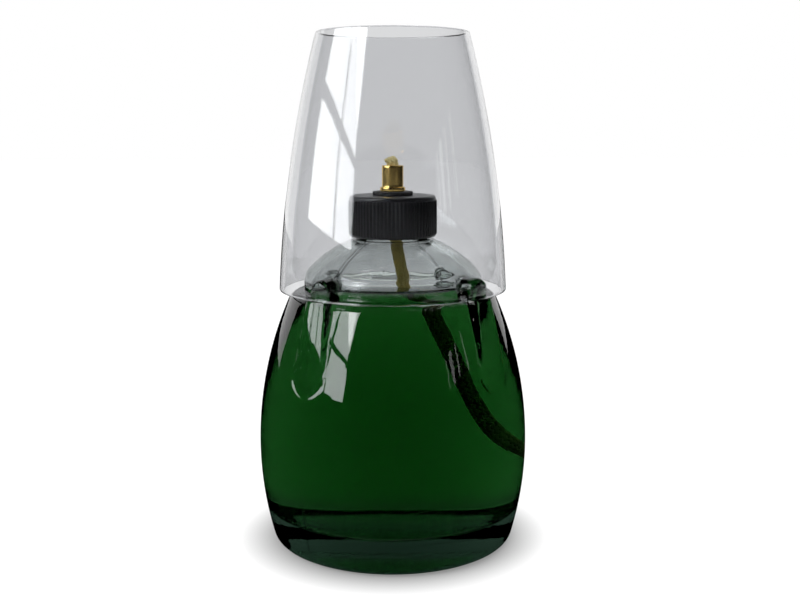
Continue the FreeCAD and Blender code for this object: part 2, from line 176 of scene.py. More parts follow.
def stands_for(piece, node, body):
    """The piece rides on the body of its CAD node, and the node's own mesh is hidden."""
    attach(piece, body)
    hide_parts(node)


# %% [markdown]
# The wick is a limp cord, so its route is settled early. It leaves the lower end of the brass tube,
# hangs through the neck and lies over to the right in the oil. The route is one NURBS curve. Its upper
# points lie close to those of the CAD tube, and its lower points hang a few millimetres deeper, as the
# photograph shows. The braid is built on points that are read from that curve.

# %% Wick route
WICK_RADIUS = 2.2
WICK_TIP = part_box("wick")[1].z / MM
TUBE_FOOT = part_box("burner_tube")[0].z / MM
WICK_ROUTE = [
    (0.0, 0.0, TUBE_FOOT),
    (0.0, 0.0, 106.0),
    (7.4, 7.3, 80.0),
    (14.6, 9.6, 59.0),
    (20.4, 9.3, 40.0),
    (28.0, 6.0, 29.5),
    (40.0, 1.5, 25.5),
]


def route_points(name, route):
    """Points in millimetres read from the NURBS curve that has the route as its control points."""
    curve = bpy.data.curves.new(name, "CURVE")
    curve.dimensions = "3D"
    curve.resolution_u = 24
    spline = curve.splines.new("NURBS")
    spline.points.add(len(route) - 1)
    for control, place in zip(spline.points, route):
        control.co = (*(Vector(place) * MM), 1)
    spline.order_u = 3
    spline.use_endpoint_u = True
    carrier = bpy.data.objects.new(name, curve)
    bpy.context.scene.collection.objects.link(carrier)
    bpy.context.view_layer.update()
    mesh = bpy.data.meshes.new_from_object(carrier)
    points = np.array([v.co for v in mesh.vertices]) / MM
    bpy.data.objects.remove(carrier)
    bpy.data.meshes.remove(mesh)
    return points


wick_line = route_points("wick_route", WICK_ROUTE)

# %% [markdown]
# A cord needs two helpers. One walks along a line and gives two directions across it that don't twist.
# The other makes a closed tube round a line of points, as a bevelled curve that is turned into a mesh,
# because a curve's bevel follows bends without creases.

# %% Tubes along a line
BRAID_SPACING = 0.45


def frames_along(points):
    """Places along a line with two directions across it that don't twist."""
    along = np.concatenate([[0], np.cumsum(np.linalg.norm(np.diff(points, axis=0), axis=1))])
    count = max(2, round(along[-1] / BRAID_SPACING))
    places = np.linspace(0, along[-1], count + 1)
    line_points = np.array([[np.interp(p, along, points[:, k]) for k in range(3)] for p in places])
    ahead = np.gradient(line_points, axis=0)
    ahead /= np.linalg.norm(ahead, axis=1)[:, None]
    across = np.zeros_like(ahead)
    side = np.array([1.0, 0.0, 0.0])
    for number, direction in enumerate(ahead):
        side = side - direction * side.dot(direction)
        side /= np.linalg.norm(side)
        across[number] = side
    return places, line_points, across, np.cross(ahead, across)


def tube_mesh(name, centres, radii, sides):
    """A closed tube of the given radii round a line of centres, all in millimetres."""
    deselect_all()
    curve = bpy.data.curves.new(name, "CURVE")
    curve.dimensions = "3D"
    curve.bevel_depth = MM
    curve.bevel_resolution = max(0, sides // 2 - 2)
    curve.use_fill_caps = True
    spline = curve.splines.new("POLY")
    spline.points.add(len(centres) - 1)
    for control, place, radius in zip(spline.points, centres, radii):
        control.co = (*(np.array(place) * MM), 1)
        control.radius = radius
    tube = bpy.data.objects.new(name, curve)
    bpy.context.scene.collection.objects.link(tube)
    bpy.context.view_layer.objects.active = tube
    tube.select_set(True)
    bpy.ops.object.convert(target="MESH")
    bpy.ops.object.mode_set(mode="EDIT")
    bpy.ops.mesh.select_all(action="SELECT")
    bpy.ops.mesh.remove_doubles(threshold=1e-6)
    bpy.ops.object.mode_set(mode="OBJECT")
    return bpy.context.object


def join_pieces(name, pieces):
    deselect_all()
    for piece in pieces:
        piece.select_set(True)
    bpy.context.view_layer.objects.active = pieces[0]
    bpy.ops.object.join()
    whole = bpy.context.object
    whole.name = whole.data.name = name
    return whole


# %% [markdown]
# A round wick is a tubular braid: half of its yarns wind to the right, half to the left, and each passes
# over one and under the next. Each yarn is a thin tube on a helix about the route, whose distance from
# the middle swells and sinks where it crosses the others. A fat core keeps the braid from being hollow.

# %% Braided wick
YARNS_EACH_WAY = 8
YARN_RADIUS = 0.52
YARN_LIFT = 0.22
YARN_SIDES = 6
BRAID_LAY = 15.0
CORE_OVERLAP = 0.25
CORE_SIDES = 16
END_ROUND = 1.6


def braid(name, points):
    """Yarns that wind both ways about a line, over and under each other, on a core, with a rounded end."""
    places, middle, first, second = frames_along(points)
    to_end = np.clip((places[-1] - places) / END_ROUND, 0.12, 1)
    narrow = np.sqrt(1 - (1 - to_end) ** 2)
    core_radius = WICK_RADIUS - 2 * YARN_RADIUS + CORE_OVERLAP
    pieces = [tube_mesh("core", middle, core_radius * narrow, CORE_SIDES)]
    reach = WICK_RADIUS - YARN_RADIUS
    radii = [YARN_RADIUS] * len(places)
    for way in (-1, 1):
        for yarn in range(YARNS_EACH_WAY):
            start = 2 * math.pi * yarn / YARNS_EACH_WAY
            turn = start + way * 2 * math.pi * places / BRAID_LAY
            crossing = YARNS_EACH_WAY * turn / 2
            lift = reach - YARN_LIFT + YARN_LIFT * way * np.cos(2 * crossing - way * math.pi / 2)
            spot = first * np.cos(turn)[:, None] + second * np.sin(turn)[:, None]
            centres = middle + spot * (lift * narrow)[:, None]
            pieces.append(tube_mesh("yarn", centres, radii, YARN_SIDES))
    whole = join_pieces(name, pieces)
    bpy.ops.object.shade_smooth()
    print(name, len(whole.data.polygons), "faces")
    return whole


wick_tail = braid("wick_tail", wick_line)
stands_for(wick_tail, "wick", "wick")

# %% [markdown]
# The upper end of the wick stands in the brass tube and a few millimetres proud of it. Its cut end is pale,
# leans a little to the left and frays, so loose fibres of different lengths fan out of it. They are thin
# tubes, scattered by chance but always by the same draws.

# %% Wick tip
TIP_LEAN, LEAN_START, LEAN_LENGTH = 1.0, 130.0, 3.0
FRAY_COUNT = 46
FRAY_RADIUS, FRAY_SPREAD, FRAY_DEPTH, FRAY_FLARE = 0.13, 1.75, 0.7, 0.25
rng = np.random.default_rng(7)

tip_heights = np.linspace(TUBE_FOOT, WICK_TIP - FRAY_DEPTH, 24)
lean = np.maximum(0, (tip_heights - LEAN_START) / LEAN_LENGTH)
tip_line = np.column_stack([-TIP_LEAN * lean**2, np.zeros_like(lean), tip_heights])
tip_pieces = [braid("tip_braid", tip_line)]
tip_end = tip_line[-1]
fibre_radii = [FRAY_RADIUS, FRAY_RADIUS, FRAY_RADIUS * 0.6]
for _ in range(FRAY_COUNT):
    angle = rng.uniform(0, 2 * math.pi)
    out = FRAY_SPREAD * math.sqrt(rng.uniform(0, 1))
    rise = 0.9 + rng.uniform(0.1, 0.5) * (1 - out / 3)
    across, aside = math.cos(angle), math.sin(angle)
    foot = tip_end + np.array([out * across, out * aside, -FRAY_DEPTH - 0.5 * out])
    end = foot + np.array([FRAY_FLARE * across - FRAY_FLARE, FRAY_FLARE * aside, rise])
    middle = (foot + end) / 2 + rng.normal(0, 0.08, 3)
    tip_pieces.append(tube_mesh("fibre", [foot, middle, end], fibre_radii, 4))
wick_tip = join_pieces("wick_tip", tip_pieces)
bpy.ops.object.shade_smooth()
stands_for(wick_tip, "wick", "wick")
print("wick tip", len(wick_tip.data.polygons), "faces")

# %% [markdown]
# The bottle is pressed glass: a barrel on a thick base, a stepped shoulder, a dome and a neck, whose thread
# is hidden by the cap and left out. One outline goes up the outside and down the inside, so the wall has a
# thickness and the spun mesh is closed. The four lugs aren't round, so they are drawn out of the spun wall
# afterwards.

# %% Bottle outline
BASE, BARREL, SHOULDER, BAND = 41.7, 46.7, 34.8, 30.6
BARREL_HEIGHT, SHOULDER_HEIGHT, DOME_FOOT, DOME_TOP = 34.0, 87.4, 93.2, 105.0
DOME_TOP_RADIUS, DOME_CURVE, NECK, MOUTH = 14.0, 40.0, 12.6, 9.0
BOTTLE_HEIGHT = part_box("bottle")[1].z / MM
PUSH_UP_RADIUS, PUSH_UP = 33.0, 2.2
WALL, FLOOR, FLOOR_CORNER = 2.4, 11.5, 8.0
LUG_BOTTOM, LUG_TOP = 57.0, 94.6
COARSE, FINE = 2.0, 0.5


def bulge_curve(rise, bulge):
    """Radius of an arc that is upright at one end and leans in by the bulge over the rise."""
    return (rise**2 + bulge**2) / (2 * bulge)


LOWER_CURVE = bulge_curve(BARREL_HEIGHT, BARREL - BASE)
UPPER_CURVE = bulge_curve(SHOULDER_HEIGHT - BARREL_HEIGHT, BARREL - SHOULDER)


def barrel_point(height, wall=0.0):
    """Point of the barrel at a height, some wall inside its outer face."""
    curve = LOWER_CURVE if height < BARREL_HEIGHT else UPPER_CURVE
    return BARREL - curve + math.sqrt((curve - wall) ** 2 - (height - BARREL_HEIGHT) ** 2), height


def barrel_wall(foot, top, wall=0.0, spacing=COARSE):
    """The barrel's outline from one height up to another."""
    widest = barrel_point(BARREL_HEIGHT, wall)
    low = arc(barrel_point(foot, wall), widest, LOWER_CURVE - wall, -1, spacing)
    return joined(low, arc(widest, barrel_point(top, wall), UPPER_CURVE - wall, -1, spacing))


outside = joined(
    arc((0, PUSH_UP), (PUSH_UP_RADIUS, 0), bulge_curve(PUSH_UP_RADIUS, PUSH_UP), 1, COARSE),
    line((PUSH_UP_RADIUS, 0), (BASE, 0), COARSE),
    barrel_wall(0, LUG_BOTTOM - 1),
    arc(barrel_point(LUG_BOTTOM - 1), (SHOULDER, SHOULDER_HEIGHT), UPPER_CURVE, -1, FINE),
    line((SHOULDER, SHOULDER_HEIGHT), (BAND, SHOULDER_HEIGHT), FINE),
    line((BAND, SHOULDER_HEIGHT), (BAND, DOME_FOOT), FINE),
    arc((BAND, DOME_FOOT), (DOME_TOP_RADIUS, DOME_TOP), DOME_CURVE, -1, 2 * FINE),
    line((DOME_TOP_RADIUS, DOME_TOP), (NECK, DOME_TOP)),
    line((NECK, DOME_TOP), (NECK, BOTTLE_HEIGHT), COARSE),
    line((NECK, BOTTLE_HEIGHT), (MOUTH, BOTTLE_HEIGHT), COARSE),
)
outside = softened(
    outside,
    [
        ((PUSH_UP_RADIUS, 0), 2.0),
        ((BASE, 0), 2.6),
        ((SHOULDER, SHOULDER_HEIGHT), 2.6),
        ((BAND, SHOULDER_HEIGHT), 1.2),
        ((BAND, DOME_FOOT), 2.4),
        ((NECK, DOME_TOP), 0.6),
        ((NECK, BOTTLE_HEIGHT), 0.9),
    ],
)
INNER_TOP = SHOULDER_HEIGHT - WALL
inside = joined(
    line((MOUTH, BOTTLE_HEIGHT), (MOUTH, DOME_TOP - WALL / 2), COARSE),
    arc((MOUTH, DOME_TOP - WALL / 2), (BAND - WALL, DOME_FOOT - WALL / 2), DOME_CURVE, 1, COARSE),
    line((BAND - WALL, DOME_FOOT - WALL / 2), (BAND - WALL, INNER_TOP), COARSE),
    line((BAND - WALL, INNER_TOP), barrel_point(INNER_TOP, WALL), COARSE),
    barrel_wall(FLOOR, INNER_TOP, WALL)[::-1],
    line(barrel_point(FLOOR, WALL), (0, FLOOR), 2 * COARSE),
)
inside = softened(
    inside,
    [
        ((MOUTH, BOTTLE_HEIGHT), 0.7),
        ((BAND - WALL, DOME_FOOT - WALL / 2), 1.5),
        ((BAND - WALL, INNER_TOP), 1.3),
        (barrel_point(INNER_TOP, WALL), 1.3),
        (barrel_point(FLOOR, WALL), FLOOR_CORNER),
    ],
)
BOTTLE_STEPS = 320
bottle = turned("glass_bottle", joined(outside, inside), BOTTLE_STEPS)

# %% [markdown]
# Each lug is a tapered tongue that grows out of the barrel, ends in a ledge that carries the chimney's
# rim, and goes on as a round head that centres the chimney. Extruding faces would leave hard steps in
# the glass. Instead the rings of the spun wall are gathered towards the lugs, and each point of a column
# that crosses a lug slides from the plain outline to the lug's own outline, row for row.

# %% Lug outline
LUG_TURN = math.radians(45)
HEAD_RADIUS, TAIL_RADIUS = 4.4, 6.6
LEDGE_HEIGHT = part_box("chimney")[0].z / MM
LEDGE_REACH, LUG_REACH, LUG_CROWN, LUG_CURVE = 39.2, 36.9, 10.5, 220.0
STEP_LOW, STEP_HIGH = SHOULDER_HEIGHT - 0.6, SHOULDER_HEIGHT + 0.7

barrel_rows = [p for p in outside if LUG_BOTTOM <= p[1] <= STEP_LOW and p[0] > SHOULDER - 1.5]
shoulder_rows = [p for p in outside if LUG_BOTTOM < p[1] < STEP_HIGH and p not in barrel_rows]
head_rows = [p for p in outside if STEP_HIGH <= p[1] <= LUG_TOP + 0.3 and p[0] > NECK + 2]
lug_zones = [
    (barrel_rows, arc(barrel_point(LUG_BOTTOM), (LEDGE_REACH, LEDGE_HEIGHT - 0.3), LUG_CURVE, -1)),
    (shoulder_rows, [(LEDGE_REACH - 0.3, LEDGE_HEIGHT), (LUG_REACH + 0.5, LEDGE_HEIGHT)]),
    (
        head_rows,
        softened(
            joined(
                line((LUG_REACH, LEDGE_HEIGHT + 0.4), (LUG_REACH, LUG_TOP)),
                line((LUG_REACH, LUG_TOP), head_rows[-1]),
            ),
            [((LUG_REACH, LUG_TOP), 1.6)],
        ),
    ),
]
plain_rows, drawn_rows = [], []
for rows, target in lug_zones:
    target = np.array(target)
    share = np.concatenate([[0], np.cumsum(np.hypot(*np.diff(np.array(rows), axis=0).T))])
    along = np.concatenate([[0], np.cumsum(np.hypot(*np.diff(target, axis=0).T))])
    plain_rows += rows
    for place in share / share[-1] * along[-1]:
        drawn_rows.append([np.interp(place, along, target[:, k]) for k in (0, 1)])
plain_rows = np.array(plain_rows)
body_rows = np.array([p for p in outside if p[1] >= SHOULDER_HEIGHT and p[0] <= BAND])
print("rows that cross a lug", len(plain_rows))

# %% [markdown]
# From the front a lug has a round tail, straight sides and a round head. Across, its face is crowned. A
# point slides fully inside that shape, not at all outside it, and by a smooth share along a narrow edge.
# Where the lug would lie inside the dome, the plain wall stays.

# %% Lugs
LUG_EDGE = 0.75
GATHER = 0.6


def lug_row(radius, height):
    """The lug's own place for a row of the spun wall, or None for rows that cross no lug."""
    away = np.hypot(*(plain_rows - (radius, height)).T)
    nearest = np.argmin(away)
    return drawn_rows[nearest] if away[nearest] < 0.01 else None


def half_width(height):
    """Half the width of the lug's outline: a round tail, straight sides, then the head's own width."""
    tail = LUG_BOTTOM + TAIL_RADIUS
    if height < tail:
        return math.sqrt(max(0.0, TAIL_RADIUS**2 - (tail - height) ** 2))
    return np.interp(height, [tail, LUG_TOP - HEAD_RADIUS], [TAIL_RADIUS, HEAD_RADIUS])


def lug_point(radius, height, aside):
    """Where a point of the lug's middle outline lies, some distance aside: crowned, under a round arch."""
    axis = LUG_REACH - LUG_CROWN
    if radius > axis:
        radius = axis + math.sqrt(max(0.1, (radius - axis) ** 2 - aside**2))
    if height > LEDGE_HEIGHT:
        arch = LUG_TOP - HEAD_RADIUS + math.sqrt(max(0.0, HEAD_RADIUS**2 - aside**2))
        height = LEDGE_HEIGHT + (height - LEDGE_HEIGHT) * (arch - LEDGE_HEIGHT) / (LUG_TOP - LEDGE_HEIGHT)
    return math.hypot(radius, aside), height


def buried(radius, height):
    """Whether a place of the lug lies inside the dome, where the plain wall shows instead."""
    return height > SHOULDER_HEIGHT and radius < np.interp(height, body_rows[:, 1], body_rows[:, 0])


moved = 0
for vertex in bottle.data.vertices:
    radius, height = math.hypot(vertex.co.x, vertex.co.y) / MM, vertex.co.z / MM
    turn = math.atan2(vertex.co.y, vertex.co.x)
    turn -= GATHER / 4 * math.sin(4 * (turn - LUG_TURN))
    spot = lug_row(radius, height)
    if spot:
        from_lug = (turn - LUG_TURN + math.pi / 4) % (math.pi / 2) - math.pi / 4
        aside = abs(spot[0] * math.sin(from_lug))
        inside_edge = (half_width(spot[1]) - aside) / LUG_EDGE + 0.5
        weight = min(1.0, max(0.0, inside_edge))
        weight = weight * weight * (3 - 2 * weight)
        drawn = lug_point(*spot, min(aside, HEAD_RADIUS if spot[1] > LEDGE_HEIGHT else aside))
        if weight and not buried(*drawn):
            radius += (drawn[0] - radius) * weight
            height += (drawn[1] - height) * weight
            moved += 1
    vertex.co = Vector((radius * math.cos(turn), radius * math.sin(turn), height)) * MM
bottle.data.update()
stands_for(bottle, "bottle", "bottle")
print("points drawn out into lugs", moved)

# %% [markdown]
# The oil fills the glass with no air between them, so it reaches a little into the wall here. Its top
# is level, and climbs the glass by a millimetre, as a wetting liquid does. It is turned like the bottle,
# from the bottle's own inner outline.

# %% Oil
OIL_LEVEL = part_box("lamp_oil")[1].z / MM
SOAK = 0.4
MENISCUS, MENISCUS_WIDTH, MENISCUS_CURVE = 1.1, 1.6, 1.9
oil_wall = WALL - SOAK
oil_edge = BAND - oil_wall
oil_rows = joined(
    line((0, FLOOR - SOAK), barrel_point(FLOOR - SOAK, oil_wall), COARSE),
    barrel_wall(FLOOR - SOAK, INNER_TOP + SOAK, oil_wall),
    line(barrel_point(INNER_TOP + SOAK, oil_wall), (oil_edge, INNER_TOP + SOAK), COARSE),
    line((oil_edge, INNER_TOP + SOAK), (oil_edge, OIL_LEVEL + MENISCUS), COARSE),
    arc(
        (oil_edge, OIL_LEVEL + MENISCUS), (oil_edge - MENISCUS_WIDTH, OIL_LEVEL), MENISCUS_CURVE, -1, 0.2
    ),
    line((oil_edge - MENISCUS_WIDTH, OIL_LEVEL), (0, OIL_LEVEL), COARSE),
)
oil_rows = softened(
    oil_rows,
    [
        (barrel_point(FLOOR - SOAK, oil_wall), FLOOR_CORNER),
        (barrel_point(INNER_TOP + SOAK, oil_wall), 1.3),
        ((oil_edge, INNER_TOP + SOAK), 1.3),
    ],
)
oil = turned("green_oil", oil_rows, 192)
stands_for(oil, "lamp_oil", "bottle")

# %% [markdown]
# The chimney is a thin blown wall with its two ends melted round in a flame. The lower rim is a fine
# bead, and that bead is the bright line that shows all round its foot.

# %% Chimney
FOOT_RADIUS, TOP_RADIUS, CHIMNEY_CURVE, CHIMNEY_WALL = 39.1, 25.8, 413.0, 1.4
CHIMNEY_FOOT, CHIMNEY_TOP = (corner.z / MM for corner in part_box("chimney"))
foot_inner = (FOOT_RADIUS - CHIMNEY_WALL, CHIMNEY_FOOT)
top_inner = (TOP_RADIUS - CHIMNEY_WALL, CHIMNEY_TOP)
chimney_rows = joined(
    line(((FOOT_RADIUS + foot_inner[0]) / 2, CHIMNEY_FOOT), (FOOT_RADIUS, CHIMNEY_FOOT)),
    arc((FOOT_RADIUS, CHIMNEY_FOOT), (TOP_RADIUS, CHIMNEY_TOP), CHIMNEY_CURVE, -1, 1.2),
    line((TOP_RADIUS, CHIMNEY_TOP), top_inner),
    arc(top_inner, foot_inner, CHIMNEY_CURVE - CHIMNEY_WALL, 1, 1.2),
    line(foot_inner, ((FOOT_RADIUS + foot_inner[0]) / 2, CHIMNEY_FOOT)),
)
chimney_rows = softened(
    chimney_rows,
    [
        ((FOOT_RADIUS, CHIMNEY_FOOT), 0.6),
        ((TOP_RADIUS, CHIMNEY_TOP), 0.6),
        (top_inner, 0.6),
        (foot_inner, 0.5),
    ],
)
chimney = turned("glass_chimney", chimney_rows, 256)
stands_for(chimney, "chimney", "chimney")

# %% [markdown]
# The screw cap is moulded in one: a cup with a fine grip of upright ribs. The cup is turned, one rib is
# modelled with a domed upper end, and its copies are turned round the axis and joined to the cup.

# %% Screw cap
CAP_FOOT, CAP_TOP = (corner.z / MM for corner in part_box("screw_cap"))
CAP_RADIUS, RIB_DEPTH, CAP_WALL, CAP_ROOF, CAP_HOLE = 15.15, 0.38, 1.5, 1.6, 3.6
RIB_COUNT, RIB_RADIUS, RIB_START, RIB_STOP = 72, 0.48, 0.6, 1.5
SKIRT = CAP_RADIUS - RIB_DEPTH
cap_corners = [
    (CAP_HOLE, CAP_TOP),
    (CAP_HOLE, CAP_TOP - CAP_ROOF),
    (SKIRT - CAP_WALL, CAP_TOP - CAP_ROOF),
    (SKIRT - CAP_WALL, CAP_FOOT),
    (SKIRT, CAP_FOOT),
    (SKIRT, CAP_TOP),
    (CAP_HOLE, CAP_TOP),
]
cap_rows = joined(*[line(a, b, COARSE) for a, b in zip(cap_corners, cap_corners[1:])])
cap_rows = softened(cap_rows, [((SKIRT, CAP_TOP), 1.1), ((SKIRT, CAP_FOOT), 0.25), (cap_corners[3], 0.25)])
cap_cup = turned("cap_cup", cap_rows, 144)


def ring_of(piece, count):
    """The piece and its copies, each with its own mesh, evenly round the lamp's axis."""
    copies = [piece]
    for number in range(1, count):
        deselect_all()
        piece.select_set(True)
        bpy.context.view_layer.objects.active = piece
        bpy.ops.object.duplicate()
        copy = bpy.context.object
        bpy.ops.object.mode_set(mode="EDIT")
        bpy.ops.mesh.select_all(action="SELECT")
        bpy.ops.transform.rotate(
            value=2 * math.pi * number / count, orient_axis="Z", center_override=(0, 0, 0)
        )
        bpy.ops.object.mode_set(mode="OBJECT")
        copies.append(copy)
    return copies


deselect_all()
rib_length = (CAP_TOP - CAP_FOOT - RIB_START - RIB_STOP) * MM
bpy.ops.mesh.primitive_cylinder_add(vertices=10, radius=RIB_RADIUS * MM, depth=rib_length)
rib = bpy.context.object
rib.name = "rib"
bpy.ops.object.mode_set(mode="EDIT")
bpy.ops.mesh.select_all(action="SELECT")
rib_middle = (CAP_FOOT + RIB_START) * MM + rib_length / 2
bpy.ops.transform.translate(value=((CAP_RADIUS - RIB_RADIUS) * MM, 0, rib_middle))
bpy.ops.object.mode_set(mode="OBJECT")
for edge in rib.data.edges:
    edge.select = all(rib.data.vertices[v].co.z > rib_middle for v in edge.vertices)
bpy.ops.object.mode_set(mode="EDIT")
bpy.ops.mesh.select_mode(type="EDGE")
bpy.ops.mesh.bevel(offset=0.36 * MM, segments=4, profile=0.5, affect="EDGES")
bpy.ops.mesh.select_mode(type="VERT")
bpy.ops.object.mode_set(mode="OBJECT")
screw_cap = join_pieces("black_screw_cap", [cap_cup] + ring_of(rib, RIB_COUNT))
bpy.ops.object.shade_smooth_by_angle(angle=math.radians(45))
stands_for(screw_cap, "screw_cap", "cap")
print("screw cap", len(screw_cap.data.polygons), "faces")

# %% [markdown]
# Small turned pieces clamp together through the roof of the cap: a rubber washer, the brass tube with
# its foot flange, and under the roof a brass nut and the foam seal. Turned brass has fine rounded edges,
# which catch the light, so every outline is softened.

# %% Washer, brass tube and seal
WASHER, SHANK, FLANGE, TUBE, BORE = 6.9, 3.5, 4.35, 3.7, 2.75
FLANGE_RISE = 1.5
WASHER_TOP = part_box("top_washer")[1].z / MM
TUBE_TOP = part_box("burner_tube")[1].z / MM


def turned_ring(name, corners, softness, steps=96):
    """A ring turned from a closed outline, with every corner softened."""
    middle = ((corners[0][0] + corners[-1][0]) / 2, (corners[0][1] + corners[-1][1]) / 2)
    loop = [middle] + corners + [middle]
    rows = joined(*[line(a, b, 1.0) for a, b in zip(loop, loop[1:])])
    return turned(name, softened(rows, [(corner, softness) for corner in corners], 4), steps)


washer = turned_ring(
    "rubber_washer",
    [(CAP_HOLE, CAP_TOP), (WASHER, CAP_TOP), (WASHER, WASHER_TOP), (CAP_HOLE, WASHER_TOP)],
    0.3,
)
stands_for(washer, "top_washer", "cap")
brass_tube = turned_ring(
    "brass_wick_tube",
    [
        (BORE, TUBE_FOOT),
        (SHANK, TUBE_FOOT),
        (SHANK, WASHER_TOP),
        (FLANGE, WASHER_TOP),
        (FLANGE, WASHER_TOP + FLANGE_RISE),
        (TUBE, WASHER_TOP + FLANGE_RISE),
        (TUBE, TUBE_TOP),
        (BORE, TUBE_TOP),
    ],
    0.28,
)
stands_for(brass_tube, "burner_tube", "cap")
LINER_FOOT, LINER_TOP = (corner.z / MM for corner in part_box("cap_liner"))
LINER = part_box("cap_liner")[1].x / MM
LINER_HOLE = 8.0
seal = turned_ring(
    "foam_seal",
    [(LINER_HOLE, LINER_FOOT), (LINER, LINER_FOOT), (LINER, LINER_TOP), (LINER_HOLE, LINER_TOP)],
    0.15,
)
stands_for(seal, "cap_liner", "cap_seal")

# %% [markdown]
# The nut is a six-sided bar with a hole. Its corners are chamfered as a lathe chamfers bar stock, by
# cutting with a turned cone, and a Boolean modifier makes both cuts.

# %% Nut
NUT_FLATS = 10.0
NUT_FOOT, NUT_TOP = (corner.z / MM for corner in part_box("lock_nut"))
nut_height = NUT_TOP - NUT_FOOT
deselect_all()
bpy.ops.mesh.primitive_cylinder_add(
    vertices=6,
    radius=NUT_FLATS / math.sqrt(3) * MM,
    depth=nut_height * MM,
    location=(0, 0, (NUT_FOOT + nut_height / 2) * MM),
    rotation=(0, 0, math.radians(30)),
)
nut = bpy.context.object
nut.name = nut.data.name = "brass_nut"
bpy.ops.object.transform_apply(location=True, rotation=True, scale=True)
chamfer = NUT_FLATS / 2 - 0.15
blank = turned_ring(
    "nut_blank",
    [
        (CAP_HOLE, NUT_FOOT - 0.01),
        (chamfer, NUT_FOOT - 0.01),
        (chamfer + 1.2, NUT_FOOT + 0.6),
        (chamfer + 1.2, NUT_TOP + 0.01),
        (CAP_HOLE, NUT_TOP + 0.01),
    ],
    0.05,
)
cut = nut.modifiers.new("turned", "BOOLEAN")
cut.operation = "INTERSECT"
cut.object = blank
cut.solver = "EXACT"
deselect_all()
nut.select_set(True)
bpy.context.view_layer.objects.active = nut
bpy.ops.object.modifier_apply(modifier=cut.name)
bpy.data.objects.remove(blank)
bpy.ops.object.shade_smooth_by_angle(angle=math.radians(25))
stands_for(nut, "lock_nut", "cap")
print("nut", len(nut.data.polygons), "faces")

# %% [markdown]
# Finishes are built from shader nodes. A small class wraps a socket, so that maths on values reads as
# plain Python, and one method adds any other node with its settings first and its sockets after.

# %% Shader helpers


class Signal:
    """The value that leaves a socket. Sums and products of signals add Math nodes."""

    def __init__(self, recipe, socket):
        self.recipe = recipe
        self.socket = socket

    def maths(self, operation, first, second):
        node = self.recipe.node("ShaderNodeMath", {"operation": operation}, {0: first, 1: second})
        return Signal(self.recipe, node.outputs[0])

    def __add__(self, other):
        return self.maths("ADD", self, other)

    def __radd__(self, other):
        return self.maths("ADD", other, self)

    def __mul__(self, other):
        return self.maths("MULTIPLY", self, other)

    def __rmul__(self, other):
        return self.maths("MULTIPLY", other, self)


class Recipe:
    """A node tree that is filled step by step."""

    def __init__(self, tree):
        self.tree = tree
        tree.nodes.clear()

    def node(self, kind, settings=None, sockets=None):
        node = self.tree.nodes.new(kind)
        for name, setting in (settings or {}).items():
            setattr(node, name, setting)
        for name, value in (sockets or {}).items():
            if isinstance(value, Signal):
                self.tree.links.new(value.socket, node.inputs[name])
            else:
                node.inputs[name].default_value = value
        return node

    def signal(self, kind, output, settings=None, sockets=None):
        return Signal(self, self.node(kind, settings, sockets).outputs[output])

    def place(self, stretch=(1, 1, 1)):
        """Object coordinates in millimetres, stretched along the axes."""
        spot = self.signal("ShaderNodeTexCoord", "Object")
        scale = tuple(s / MM for s in stretch)
        return self.signal("ShaderNodeMapping", "Vector", None, {"Vector": spot, "Scale": scale})

    def noise(self, size, detail=3.0, roughness=0.55, stretch=(1, 1, 1)):
        """Cloudy noise from 0 to 1, whose lumps are about size millimetres across."""
        return self.signal(
            "ShaderNodeTexNoise",
            "Fac",
            None,
            {"Vector": self.place(stretch), "Scale": 1 / size, "Detail": detail, "Roughness": roughness},
        )

    def fade(self, value, low, high, start=0.0, end=1.0):
        """The value moved from the range low..high to start..end, and kept inside it."""
        return self.signal(
            "ShaderNodeMapRange",
            "Result",
            {"clamp": True},
            {"Value": value, "From Min": low, "From Max": high, "To Min": start, "To Max": end},
        )

    def mix(self, share, first, second):
        node = self.node("ShaderNodeMix", {"data_type": "RGBA"}, {0: share, 6: first, 7: second})
        return Signal(self, node.outputs[2])

    def bump(self, height, depth):
        """A normal for relief whose height is in the given depth in millimetres."""
        return self.signal(
            "ShaderNodeBump", "Normal", None, {"Height": height, "Distance": depth * MM, "Strength": 1.0}
        )


def finish(name, build):
    """A material whose Principled sockets are what build returns, as {socket: value}.

    "Volume" goes to the volume. "Second" is a share and the sockets that differ where it is 1.
    """
    material = bpy.data.materials.new(name)
    material.use_nodes = True
    recipe = Recipe(material.node_tree)
    sockets = build(recipe)
    volume = sockets.pop("Volume", None)
    share, changes = sockets.pop("Second", (None, None))
    skin = recipe.signal("ShaderNodeBsdfPrincipled", "BSDF", None, sockets)
    if share:
        second = recipe.signal("ShaderNodeBsdfPrincipled", "BSDF", None, {**sockets, **changes})
        skin = recipe.signal("ShaderNodeMixShader", "Shader", None, {0: share, 1: skin, 2: second})
    outputs = {"Surface": skin}
    if volume:
        outputs["Volume"] = volume
    recipe.node("ShaderNodeOutputMaterial", None, outputs)
    print("finish", name, "with", len(recipe.tree.nodes), "nodes")
    return material


def dress(piece, material):
    piece.data.materials.clear()
    piece.data.materials.append(material)


# %% [markdown]
# Clear glass has little colour of its own and shows it only where it is thick, as in the base, so its look
# comes from its surface. Pressed glass is slightly wavy where it touched the mould, which breaks up
# reflections, and it carries faint smears and a fine seam where the two halves of the mould met.
# The chimney's thin wall is faintly grey, and drawn upwards, so its waves are long and upright.
# Where oil wets the bottle the two bend light nearly alike, so nothing gleams there: the wetted inner
# faces bend it by the ratio of the two, and the oil's own skin bends it only at the free surface.

